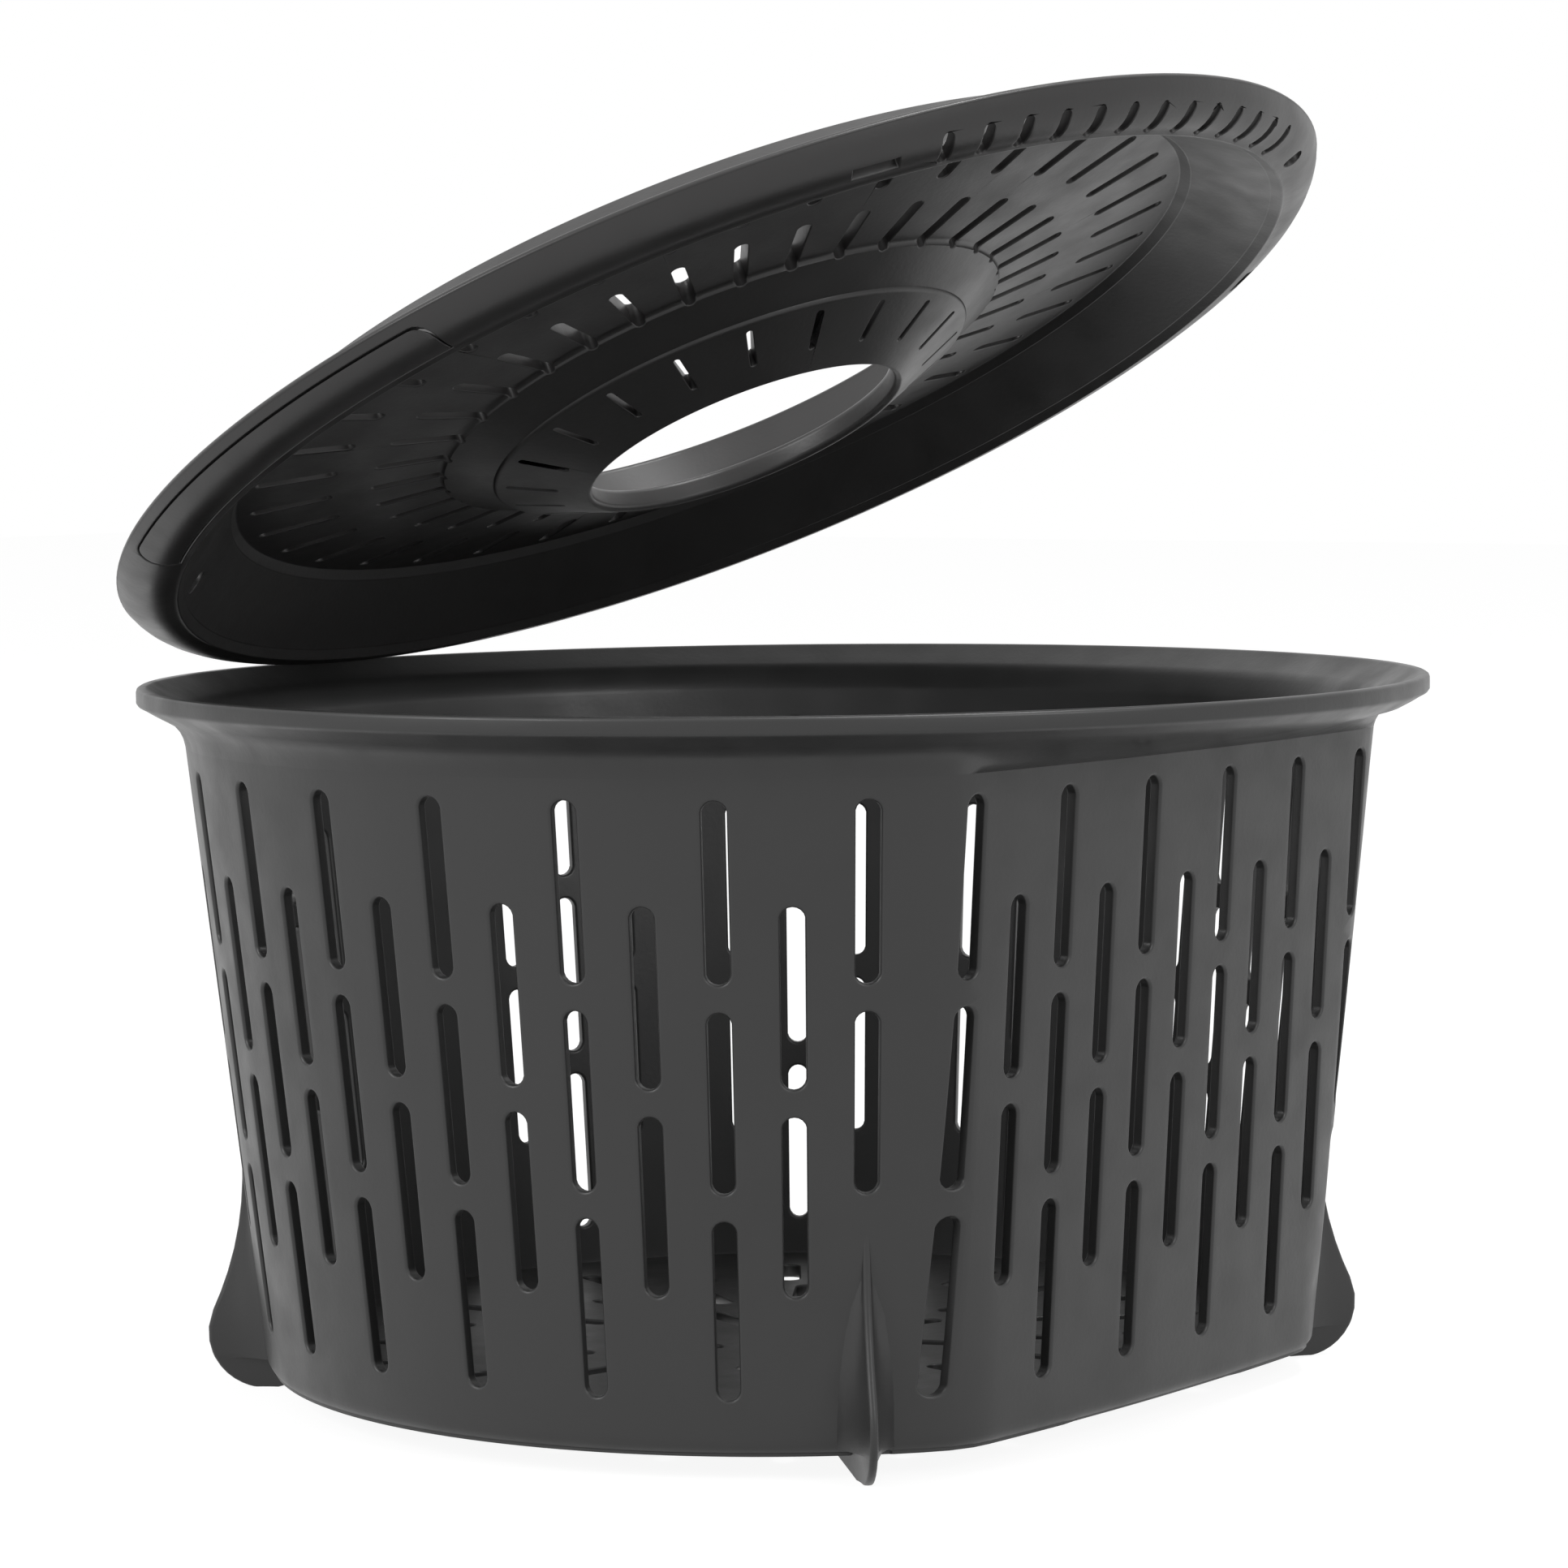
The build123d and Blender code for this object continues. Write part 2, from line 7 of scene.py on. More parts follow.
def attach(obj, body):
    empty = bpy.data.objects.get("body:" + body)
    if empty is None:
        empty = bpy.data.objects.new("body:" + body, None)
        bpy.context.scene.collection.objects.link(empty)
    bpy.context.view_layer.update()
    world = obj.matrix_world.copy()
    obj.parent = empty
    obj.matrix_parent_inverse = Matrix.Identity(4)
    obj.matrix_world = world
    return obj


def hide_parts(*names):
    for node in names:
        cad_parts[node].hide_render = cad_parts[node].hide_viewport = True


# Draining basket with its vented lid tilted open, in metres. Each piece is shaped in millimetres first.
# The flat wall faces -Y, and an azimuth is counted from -Y towards +X.
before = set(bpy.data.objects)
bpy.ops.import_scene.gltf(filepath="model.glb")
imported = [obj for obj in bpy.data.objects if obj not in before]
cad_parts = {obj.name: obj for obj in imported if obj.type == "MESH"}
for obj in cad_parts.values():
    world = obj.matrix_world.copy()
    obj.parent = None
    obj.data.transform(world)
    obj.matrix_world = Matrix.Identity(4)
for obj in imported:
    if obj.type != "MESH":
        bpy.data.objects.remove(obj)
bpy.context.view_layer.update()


# Walls: the basket is one moulding in charcoal polypropylene, so all its wall is one sheet.
# The mould leaves a fine spark-eroded grain on it, and every drain slot has a rounded edge.
# The sheet is cut flat, in millimetres, and then laid round the basket's outline.
RIM_TOP = 121.0
COLLAR_FOOT = 111.0
FLOOR_TOP = 6.5
FOOT_DROP = 4.0
WALL = 2.2
WALL_RADIUS = 103.0
WALL_TAPER = 6.4
FLAT_DISTANCE = 84.3
FLAT_BULGE_RADIUS = 620.0
FLAT_TAPER = 3.8
CORNER_RADIUS = 16.0
FLAT_CENTRE = FLAT_BULGE_RADIUS - FLAT_DISTANCE
SLOT_WIDTH = 3.9
SLOT_LENGTH = 28.6
SLOT_ROUNDING = 0.55
ROW_PITCH = 32.93
TOP_ROW = 93.33
# Columns of slots stand a step apart, in millimetres on the flat wall and in degrees round the rest.
# Every second one hangs half a row lower. Under four of them stands a foot, in the lowest slot's place.
SLOT_ROWS = 3
FLAT_STEP = 11.3175
FLAT_END_COLUMN = 5
FIRST_AZIMUTH = 45.287
BACK_COLUMN = 20
ROUND_STEP = (180.0 - FIRST_AZIMUTH) / BACK_COLUMN
FOOT_COLUMNS = (0, 14, 26, 40)
ROUND_SCALE = 96.5
FLAT_END = 60.2
ROUND_START = 70.0
ROUND_START_AZIMUTH = 43.0
BACK = ROUND_START + radians(180.0 - ROUND_START_AZIMUTH) * ROUND_SCALE
SEAM = radians(ROUND_STEP / 2) * ROUND_SCALE
# Mesh lines beside each slot and round the corners, and small distances for picking points.
SLOT_SIDE_LINES = 3.6
CORNER_LINES = (62.2, 64.8, 67.4)
LEAST_LINE_GAP = 1.0
CUTTER_SIDES = 18
NEAR = 0.1
TOUCHING = 0.01


def select_only(piece):
    """Makes a piece the only one selected and the active one."""
    bpy.ops.object.select_all(action="DESELECT")
    piece.select_set(True)
    bpy.context.view_layer.objects.active = piece


def applied(piece, kind, **settings):
    """Gives the piece one modifier and applies it."""
    select_only(piece)
    modifier = piece.modifiers.new(kind.title(), kind)
    for key, value in settings.items():
        setattr(modifier, key, value)
    bpy.ops.object.modifier_apply(modifier=modifier.name)


def grid(name, columns, rows, place):
    """A grid with a point at each column and row, each moved to place(column, row)."""
    bpy.ops.object.select_all(action="DESELECT")
    bpy.ops.mesh.primitive_grid_add(x_subdivisions=len(columns) - 1, y_subdivisions=len(rows) - 1, size=2)
    piece = bpy.context.object
    piece.name = name
    for point in piece.data.vertices:
        column = round((point.co.x + 1) / 2 * (len(columns) - 1))
        row = round((point.co.y + 1) / 2 * (len(rows) - 1))
        point.co = place(columns[column], rows[row])
    return piece


def slot_cutter(width, length, depth):
    """A long cutter with round ends, upright, that cuts along Y."""
    bpy.ops.object.select_all(action="DESELECT")
    bpy.ops.mesh.primitive_cylinder_add(vertices=CUTTER_SIDES, radius=width / 2, depth=depth,
                                        rotation=(pi / 2, 0, 0))
    cutter = bpy.context.object
    bpy.ops.object.transform_apply(rotation=True)
    for point in cutter.data.vertices:
        point.co.z += (length - width) / 2 * (1 if point.co.z > 0 else -1)
    return cutter


def copies(cutter, places):
    """One object of copies of the cutter, one at each place, without the cutter itself."""
    made = []
    for place in places:
        copy = cutter.copy()
        copy.data = cutter.data.copy()
        bpy.context.collection.objects.link(copy)
        copy.data.transform(place)
        made.append(copy)
    bpy.ops.object.select_all(action="DESELECT")
    for copy in made:
        copy.select_set(True)
    bpy.context.view_layer.objects.active = made[0]
    bpy.ops.object.join()
    bpy.data.objects.remove(cutter)
    return bpy.context.object


def cut(piece, cutter):
    """Takes the cutter out of the piece, and removes the cutter."""
    applied(piece, "BOOLEAN", operation="DIFFERENCE", solver="EXACT", object=cutter)
    bpy.data.objects.remove(cutter)


def round_edges(piece, width, belongs, sharpest=0.6):
    """Rounds the sharp edges whose two ends both belong."""
    mesh = bmesh.new()
    mesh.from_mesh(piece.data)
    weight = mesh.edges.layers.float.new("bevel_weight_edge")
    for edge in mesh.edges:
        sharp = len(edge.link_faces) == 2 and edge.calc_face_angle() > sharpest
        edge[weight] = 1.0 if sharp and all(belongs(point.co) for point in edge.verts) else 0.0
    mesh.to_mesh(piece.data)
    mesh.free()
    applied(piece, "BEVEL", limit_method="WEIGHT", width=width, segments=3, use_clamp_overlap=False)


def corner_centre(height, inset):
    """Centre of the corner's arc, and the radii of the round and flat arcs that it joins."""
    round_r = WALL_RADIUS - (RIM_TOP - height) * tan(radians(WALL_TAPER)) - inset
    flat_r = FLAT_DISTANCE - (RIM_TOP - height) * tan(radians(FLAT_TAPER)) + FLAT_CENTRE - inset
    near, far = round_r - CORNER_RADIUS + inset, flat_r - CORNER_RADIUS + inset
    y = (near ** 2 - far ** 2 + FLAT_CENTRE ** 2) / (2 * FLAT_CENTRE)
    return Vector((sqrt(near ** 2 - y ** 2), y)), round_r, flat_r


def outline_radius(azimuth, height, inset=0.0):
    """Distance from the axis to the outline in one direction, in millimetres."""
    centre, round_r, flat_r = corner_centre(height, inset)
    way = Vector((abs(sin(azimuth)), -cos(azimuth)))
    if way.angle(Vector((0, -1))) >= centre.angle(Vector((0, -1))):
        return round_r
    along = way.y * FLAT_CENTRE
    flat = along + sqrt(along ** 2 - FLAT_CENTRE ** 2 + flat_r ** 2)
    to_flat = (centre - Vector((0, FLAT_CENTRE))).normalized() * flat_r + Vector((0, FLAT_CENTRE))
    if way.angle(Vector((0, -1))) <= to_flat.angle(Vector((0, -1))):
        return flat
    along = way.dot(centre)
    return along + sqrt(along ** 2 - centre.length_squared + (CORNER_RADIUS - inset) ** 2)


def front_azimuth(across, height):
    """Azimuth of the outline's point that lies so far across the flat wall."""
    centre, round_r, flat_r = corner_centre(height, 0.0)
    on_flat = (centre - Vector((0, FLAT_CENTRE))).normalized() * flat_r
    on_round = centre.normalized() * round_r
    if abs(across) <= on_flat.x:
        y = FLAT_CENTRE - sqrt(flat_r ** 2 - across ** 2)
    elif abs(across) <= on_round.x:
        y = centre.y - sqrt(CORNER_RADIUS ** 2 - (abs(across) - centre.x) ** 2)
    else:
        y = -sqrt(round_r ** 2 - across ** 2)
    return atan2(across, -y)


def sheet_azimuth(across, height):
    """Azimuth of a point of the flat sheet: straight up the flat wall, and radial round the rest."""
    side = 1 if across >= 0 else -1
    distance = abs(across)
    if distance <= FLAT_END:
        return front_azimuth(across, height)
    start = radians(ROUND_START_AZIMUTH)
    if distance >= ROUND_START:
        return side * (start + (distance - ROUND_START) / ROUND_SCALE)
    share = (distance - FLAT_END) / (ROUND_START - FLAT_END)
    return side * ((1 - share) * front_azimuth(FLAT_END, height) + share * start)


def heel_inset(height):
    """How far the wall's foot curls in under the floor at a height."""
    drop = max(0.0, FLOOR_TOP - height)
    reach = FLOOR_TOP - FOOT_DROP
    return reach - sqrt(reach ** 2 - min(drop, reach) ** 2)


def on_wall(across, inset, height):
    """A point of the sheet, so deep in it, laid on the basket. The flat wall's slots go straight in."""
    azimuth = sheet_azimuth(across, height)
    radius = outline_radius(azimuth, height)
    share = min(max((abs(across) - FLAT_END) / (ROUND_START - FLAT_END), 0.0), 1.0)
    way = Vector((0, 1)).lerp(Vector((-sin(azimuth), cos(azimuth))), share).normalized()
    return Vector((radius * sin(azimuth) + way.x * inset, -radius * cos(azimuth) + way.y * inset, height))


def wall_columns():
    """Places across the sheet for its mesh, none of them near the side of a slot."""
    middle = []
    for step in range(-FLAT_END_COLUMN, FLAT_END_COLUMN + 1):
        place = step * FLAT_STEP
        middle += [place - SLOT_SIDE_LINES, place, place + SLOT_SIDE_LINES]
    side = list(CORNER_LINES)
    for step in range(BACK_COLUMN + 1):
        azimuth = FIRST_AZIMUTH + step * ROUND_STEP
        place = ROUND_START + radians(azimuth - ROUND_START_AZIMUTH) * ROUND_SCALE
        side += [place - SLOT_SIDE_LINES, place, place + SLOT_SIDE_LINES]
    side = [place for place in side if place > middle[-1] + LEAST_LINE_GAP]
    right = [place for place in side if place < BACK + SEAM - LEAST_LINE_GAP] + [BACK + SEAM]
    left = [place for place in side if place < BACK - SEAM - LEAST_LINE_GAP] + [BACK - SEAM]
    return [-place for place in reversed(left)] + middle + right


# Heights of the wall's mesh rows: close together in the curled heel, and clear of the slots' ends.
wall_rows = [4.0, 4.1, 4.35, 4.75, 5.3, 6.0, 7.0, 9.4, 16.0, 21.5, 26.4, 31.5, 36.0, 43.05, 49.5, 54.0,
             59.7, 65.5, 70.0, 76.35, 82.5, 87.0, 93.0, 99.0, 104.0, 109.4, COLLAR_FOOT]
walls = grid("basket_walls", wall_columns(), wall_rows, lambda column, row: Vector((column, 0, row)))
applied(walls, "SOLIDIFY", thickness=WALL, offset=-1)

slot_places = []
for step in range(-FLAT_END_COLUMN, FLAT_END_COLUMN + 1):
    lowered = (step + FLAT_END_COLUMN) % 2
    for row in range(SLOT_ROWS - lowered):
        height = TOP_ROW - (row + lowered / 2) * ROW_PITCH
        slot_places.append(Vector((step * FLAT_STEP, WALL / 2, height)))
for step in range(2 * BACK_COLUMN + 1):
    azimuth = FIRST_AZIMUTH + step * ROUND_STEP
    across = ROUND_START + radians(azimuth - ROUND_START_AZIMUTH) * ROUND_SCALE
    if azimuth > 180 + ROUND_STEP / 2:
        across -= 2 * BACK
    lowered = step % 2
    for row in range(SLOT_ROWS - lowered - (step in FOOT_COLUMNS)):
        height = TOP_ROW - (row + lowered / 2) * ROW_PITCH
        slot_places.append(Vector((across, WALL / 2, height)))
cut(walls, copies(slot_cutter(SLOT_WIDTH, SLOT_LENGTH, 3 * WALL),
                  [Matrix.Translation(place) for place in slot_places]))
round_edges(walls, SLOT_ROUNDING, lambda point: (
    -BACK + SEAM + NEAR < point.x < BACK + SEAM - NEAR and FLOOR_TOP < point.z < COLLAR_FOOT - NEAR
    and min(abs(point.y), abs(point.y - WALL)) < TOUCHING))


# Points nearer than this are one: at a finished piece's seams, and while a piece is built.
MILLIMETRE = 0.001
SEAM_MERGE = 0.02
BUILD_MERGE = 0.0001


def welded(piece, distance, fill=False):
    """Merges points this close, closes open ends if asked, and points the faces outwards."""
    select_only(piece)
    bpy.ops.object.mode_set(mode="EDIT")
    bpy.ops.mesh.select_all(action="SELECT")
    bpy.ops.mesh.remove_doubles(threshold=distance)
    if fill:
        bpy.ops.mesh.fill_holes(sides=0)
        bpy.ops.mesh.select_all(action="SELECT")
    bpy.ops.mesh.normals_make_consistent(inside=False)
    bpy.ops.object.mode_set(mode="OBJECT")


def closed(piece, smooth_angle):
    """Brings the piece from millimetres to metres, closes its seams and smooths it."""
    piece.data.transform(Matrix.Scale(MILLIMETRE, 4))
    welded(piece, SEAM_MERGE * MILLIMETRE)
    bpy.ops.object.shade_smooth_by_angle(angle=radians(smooth_angle))
    applied(piece, "WEIGHTED_NORMAL", keep_sharp=True)


# The sheet's two end faces go, so that its ends can be welded to each other at the back.
ends = bmesh.new()
ends.from_mesh(walls.data)
bmesh.ops.delete(ends, geom=[face for face in ends.faces if all(
    not -BACK + SEAM + TOUCHING < point.co.x < BACK + SEAM - TOUCHING for point in face.verts)],
                 context="FACES")
ends.to_mesh(walls.data)
ends.free()
for point in walls.data.vertices:
    point.co = on_wall(point.co.x, point.co.y + heel_inset(point.co.z), point.co.z)
WALL_SMOOTHING = 42
closed(walls, WALL_SMOOTHING)


def linear(colour):
    """An sRGB hex colour as linear red, green, blue and alpha."""
    parts = [int(colour[k:k + 2], 16) / 255 for k in (1, 3, 5)]
    return [part / 12.92 if part <= 0.04045 else ((part + 0.055) / 1.055) ** 2.4 for part in parts] + [1.0]


def add(tree, kind, inputs, **settings):
    """Adds one node. An input is a plain value or the socket that feeds it."""
    made = tree.nodes.new(kind)
    for key, value in settings.items():
        setattr(made, key, value)
    for key, value in inputs.items():
        if isinstance(value, bpy.types.NodeSocket):
            tree.links.new(value, made.inputs[key])
        else:
            made.inputs[key].default_value = value
    return made


# Sizes in millimetres of the patterns in the plastic. The grain is drawn at 0.9 mm, coarser than
# the real 0.1 mm, so that it shows.
FLOW_MARKS = 35.0
HANDLING_MARKS = 9.0
GRAIN = 0.9
GRAIN_DEPTH = 0.06
GRAIN_STRENGTH = 0.35
SATIN_SPREAD = (-0.05, 0.07)
POLYPROPYLENE_IOR = 1.49


def moulded_plastic(name, dark, light, roughness):
    """Polypropylene from a spark-eroded steel mould: even in colour, with a soft satin grain."""
    material = bpy.data.materials.new(name)
    material.use_nodes = True
    tree = material.node_tree
    shader = tree.nodes["Principled BSDF"]
    place = add(tree, "ShaderNodeTexCoord", {}).outputs["Object"]
    flow = add(tree, "ShaderNodeTexNoise", {"Vector": place, "Scale": 1000 / FLOW_MARKS, "Detail": 2.0})
    tone = add(tree, "ShaderNodeMix", {0: flow.outputs["Fac"], 6: linear(dark), 7: linear(light)},
               data_type="RGBA")
    tree.links.new(tone.outputs[2], shader.inputs["Base Color"])
    handling = add(tree, "ShaderNodeTexNoise",
                   {"Vector": place, "Scale": 1000 / HANDLING_MARKS, "Detail": 4.0})
    satin = add(tree, "ShaderNodeMapRange", {
        "Value": handling.outputs["Fac"], "From Min": 0.3, "From Max": 0.7,
        "To Min": roughness + SATIN_SPREAD[0], "To Max": roughness + SATIN_SPREAD[1]})
    tree.links.new(satin.outputs["Result"], shader.inputs["Roughness"])
    spark = add(tree, "ShaderNodeTexNoise", {"Vector": place, "Scale": 1000 / GRAIN, "Detail": 2.0})
    bump = add(tree, "ShaderNodeBump", {"Height": spark.outputs["Fac"], "Strength": GRAIN_STRENGTH,
                                        "Distance": GRAIN_DEPTH * MILLIMETRE})
    tree.links.new(bump.outputs["Normal"], shader.inputs["Normal"])
    shader.inputs["IOR"].default_value = POLYPROPYLENE_IOR
    return material


def finished(piece, material, body, slot, *nodes):
    """Gives a piece its material, and its place in the frame."""
    piece.data.materials.clear()
    piece.data.materials.append(material)
    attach(piece, body)
    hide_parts(*nodes)


CHARCOAL_ROUGHNESS = 0.4
charcoal = moulded_plastic("charcoal_polypropylene", "#2b2b2b", "#303030", CHARCOAL_ROUGHNESS)
wall_nodes = [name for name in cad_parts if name.startswith("basket_") and "wall" in name]
finished(walls, charcoal, "basket", "basket_plastic", *wall_nodes)


# Rim: the same moulding flares into a flat-topped band, with a hollow cove under it.
# Inside, a sloping gutter carries the lid and drains back into the basket.
# Over the flat wall the gutter widens to a ledge. Each level is share round, radius, height, inset.
rim_levels = [
    (0, 0, 111.0, 0), (0.3, 102.6, 112.35, 0), (0.6, 103.3, 113.7, 0), (0.88, 104.1, 114.9, 0),
    (1, 105.6, 115.85, 0), (1, 107.4, 116.8, 0), (1, 109.0, 117.75, 0), (1, 109.7, 118.1, 0),
    (1, 110, 118.55, 0), (1, 110, 120.35, 0), (1, 109.87, 120.75, 0), (1, 109.5, 121.0, 0),
    (1, 108.5, 121.0, 0), (1, 108.1, 120.9, 0), (1, 107.8, 120.6, 0), (1, 105.3, 119.0, 0),
    (1, 103.4, 117.85, 0), (0.96, 102.5, 117.2, 2.2), (0.7, 102.0, 116.1, 2.2), (0.35, 101.5, 114.6, 2.2),
    (0.08, 101.0, 113.4, 2.2), (0, 0, 112.6, 2.2), (0, 0, 111.0, 2.2), (0, 0, 111.0, 0),
]


def on_rim(across, level):
    """A point of the rim: part way from the wall's outline to a circle."""
    share, radius, height, inset = level
    azimuth = sheet_azimuth(across, COLLAR_FOOT)
    on_circle = Vector((radius * sin(azimuth), -radius * cos(azimuth), height))
    return on_wall(across, inset, height).lerp(on_circle, share)


RIM_SMOOTHING = 50
rim = grid("basket_rim_band", wall_columns(), rim_levels, on_rim)
closed(rim, RIM_SMOOTHING)
finished(rim, charcoal, "basket", "basket_plastic", "basket_rim", "basket_ledge")


# Floor: a plate in the same moulding, inside the curled foot of the wall.
# Rings of radial slots drain it, each with a rounded edge like the wall's.
FLOOR_RINGS = 3
FLOOR_RING_SLOTS = 8
FLOOR_PITCH = 21.99
FLOOR_SLOT_LENGTH = 16.9
FLOOR_PLATE_INSET = 1.2
FLOOR_PLATE_FOOT = 4.05
FLOOR_FLAT_MARGIN = 9.8
FLOOR_SLOT_DEPTH = 20
FLOOR_SLOT_ROUNDING = 0.4
FLOOR_SLOT_REACH = 3.6 * FLOOR_PITCH


def radial(radius, azimuth, height):
    """Lays an upright cutter flat along a radius, so that it cuts up and down."""
    turn = Matrix.Rotation(radians(azimuth), 4, "Z")
    return turn @ Matrix.Translation((0, -radius, height)) @ Matrix.Rotation(pi / 2, 4, "X")


bpy.ops.object.select_all(action="DESELECT")
bpy.ops.mesh.primitive_circle_add(vertices=len(wall_columns()) - 1, radius=1, fill_type="NGON")
floor = bpy.context.object
floor.name = "basket_floor_plate"
# The circle's points and the wall's columns go round the same way, and both start at the back.
for point, across in zip(floor.data.vertices, wall_columns()):
    point.co = on_wall(across, FLOOR_PLATE_INSET, FLOOR_TOP)
applied(floor, "SOLIDIFY", thickness=FLOOR_TOP - FLOOR_PLATE_FOOT, offset=-1)
floor_places = []
for ring in range(1, FLOOR_RINGS + 1):
    count = ring * FLOOR_RING_SLOTS
    for index in range(count):
        azimuth = 360 * (index + 0.5) / count
        if (ring + 0.5) * FLOOR_PITCH * cos(radians(azimuth)) < FLAT_DISTANCE - FLOOR_FLAT_MARGIN:
            floor_places.append(radial(ring * FLOOR_PITCH, azimuth, FLOOR_TOP))
cut(floor, copies(slot_cutter(SLOT_WIDTH, FLOOR_SLOT_LENGTH, FLOOR_SLOT_DEPTH), floor_places))
round_edges(floor, FLOOR_SLOT_ROUNDING, lambda point: hypot(point.x, point.y) < FLOOR_SLOT_REACH)
closed(floor, WALL_SMOOTHING)
finished(floor, charcoal, "basket", "basket_plastic", "basket_floor")


# Feet: four upright blades in the same moulding, on the wall's outside.
# Each one runs out of the wall into a round lobe that stands on the table, and its flanks
# flare into the wall. Its front edge is a narrow rounded crest.
FOOT_TOP = 40.0
FOOT_LOBE = 9.7
FOOT_LOBE_RADIUS = 90.48
FOOT_LOBE_HEIGHT = 9.45
FOOT_SHOULDER = Vector((99.27, 13.55))
FOOT_BEND = Vector((93.4, 26.1))
FOOT_CREST = 0.7
FOOT_ROOT = 5.2
FOOT_TIP_HEIGHT = 6.0
FOOT_TIP_WIDTH = 0.12
FOOT_ROOT_DEPTH = 1.2
FOOT_FREE_HEIGHT = 5.2
FOOT_FLARE = 1.7
FOOT_RUN_OUT = 2.5
FOOT_RUN_OUT_WIDTH = 0.35
CREST_HALVINGS = 30
# The blade's mesh columns are numbered from its front edge, down both flanks.
CREST_COLUMNS = 2
ROOT_COLUMN = 6
blade_rows = [0.0, 0.25, 0.7, 1.4, 2.4, 3.6, 5.0, 5.3, 6.0, 8.0, 10.5, 13.5, 16.5, 20.0, 24.0,
             28.0, 32.0, 36.0, 38.5, FOOT_TOP]
blade_columns = list(range(-ROOT_COLUMN, ROOT_COLUMN + 2))


def crest_radius(height):
    """How far out the blade's front edge stands at a height."""
    if height < FOOT_SHOULDER.y:
        rise = min(abs(height - FOOT_LOBE_HEIGHT), FOOT_LOBE)
        return FOOT_LOBE_RADIUS + sqrt(FOOT_LOBE ** 2 - rise ** 2)
    end = Vector((WALL_RADIUS - (RIM_TOP - FOOT_TOP) * tan(radians(WALL_TAPER)), FOOT_TOP))
    low, high = 0.0, 1.0
    for _ in range(CREST_HALVINGS):
        share = (low + high) / 2
        point = FOOT_SHOULDER.lerp(FOOT_BEND, share).lerp(FOOT_BEND.lerp(end, share), share)
        low, high = (share, high) if point.y < height else (low, share)
    return point.x


def on_foot(column, height):
    """A point of the blade at azimuth 90. The column past the last one closes its back."""
    column = -ROOT_COLUMN if column > ROOT_COLUMN else column
    wall_r = WALL_RADIUS - (RIM_TOP - height) * tan(radians(WALL_TAPER))
    crest = crest_radius(height)
    root = wall_r - FOOT_ROOT_DEPTH
    if height < FOOT_FREE_HEIGHT:
        root = 2 * FOOT_LOBE_RADIUS - crest
    side = 1 if column > 0 else -1
    if abs(column) <= CREST_COLUMNS:
        turn = radians(90 * column / CREST_COLUMNS)
        return Vector((crest - FOOT_CREST * (1 - cos(turn)), FOOT_CREST * sin(turn), height))
    share = (abs(column) - CREST_COLUMNS) / (ROOT_COLUMN - CREST_COLUMNS)
    out = (crest - FOOT_CREST) + (root - crest + FOOT_CREST) * share
    flare = (FOOT_ROOT - FOOT_CREST) * share ** FOOT_FLARE
    width = FOOT_CREST + flare * min(1.0, FOOT_TIP_WIDTH + height / FOOT_TIP_HEIGHT)
    run_out = min(1.0, max(0.0, (crest - wall_r) / FOOT_RUN_OUT + FOOT_RUN_OUT_WIDTH))
    fade = run_out if height > FOOT_TIP_HEIGHT else 1.0
    return Vector((out, side * width * (fade if share > 0 else 1.0), height))


FOOT_MERGE = 0.001
FOOT_SMOOTHING = 50
foot_names = ("foot_front_right", "foot_back_right", "foot_back_left", "foot_front_left")
for name, step in zip(foot_names, FOOT_COLUMNS):
    blade = grid(name + "_blade", blade_columns, blade_rows, on_foot)
    welded(blade, FOOT_MERGE, fill=True)
    blade.data.transform(Matrix.Rotation(radians(FIRST_AZIMUTH + step * ROUND_STEP - 90), 4, "Z"))
    closed(blade, FOOT_SMOOTHING)
    finished(blade, charcoal, "basket", "basket_plastic", name)


# Lid: a second moulding, turned about its own axis from one wall profile.
# A rounded outer band hangs in the basket's gutter, a cone climbs from its fold to the crown,
# and a dished hub round the central hole hangs from the crown. Heights are from the lid's base.
# The mesh's first column stands a little aside, so that no slot ends on a column.
LID_COLUMNS = 192
LID_FIRST_AZIMUTH = 0.25
LID_BASE = 119.807
LID_OPEN_ANGLE = 25.9
HINGE = Vector((0, 107.8, 121.3))
# The slots of the vent plate are given as their circle's radius and their length.
LID_SLOTS = 36
LID_SLOT_WIDTH = 2.4
INNER_SLOTS = (57.0, 13.0)
OUTER_SLOTS = (77.0, 14.0)
HUB_SLITS = 20
HUB_SLIT_CIRCLE = 37.5
HUB_SLIT_WIDTH = 1.1
HUB_SLIT_LENGTH = 8.0
BAND_CIRCLE = 104.3
BAND_SLOTS = 13
BAND_SLOT_PITCH = 4.0
BAND_SLOT_AZIMUTH = -5.3
BAND_SLOT_WIDTH = 2.0
BAND_SLOT_LENGTH = 6.2
# The round holes are slots hardly longer than wide, each at a radius and an azimuth. The windows'
# size is their width round the band and their length along its radius.
ROUND_HOLE_WIDTH = 3.6
ROUND_HOLE_LENGTH = 3.61
ROUND_HOLES = ((BAND_CIRCLE, 26.0), (96.5, -136.0))
WINDOW_SIZE = (8.0, 2.2)
WINDOW_AZIMUTHS = (-36.0, 61.0)
LID_CUT_DEPTH = 60
LID_EDGE_ROUNDING = 0.22
LID_SHARP_ANGLE = 0.9
LID_SMOOTHING = 38
# The side panel's azimuth and half angle are along the band, on this circle.
PANEL_CIRCLE = 106
PANEL_AZIMUTH = -99.0
PANEL_HALF_ANGLE = 23.0
PANEL_CORNER = 3.2
PANEL_TOP = 2.6
PANEL_FOOT = -3.5
PANEL_INNER = 102.2
PANEL_OUTER = 113.0
PANEL_CLEARANCE = 0.28
PANEL_HALF_STEPS = 18
PANEL_LEAST_STEP = 0.5
PANEL_CORNER_STEP = 15


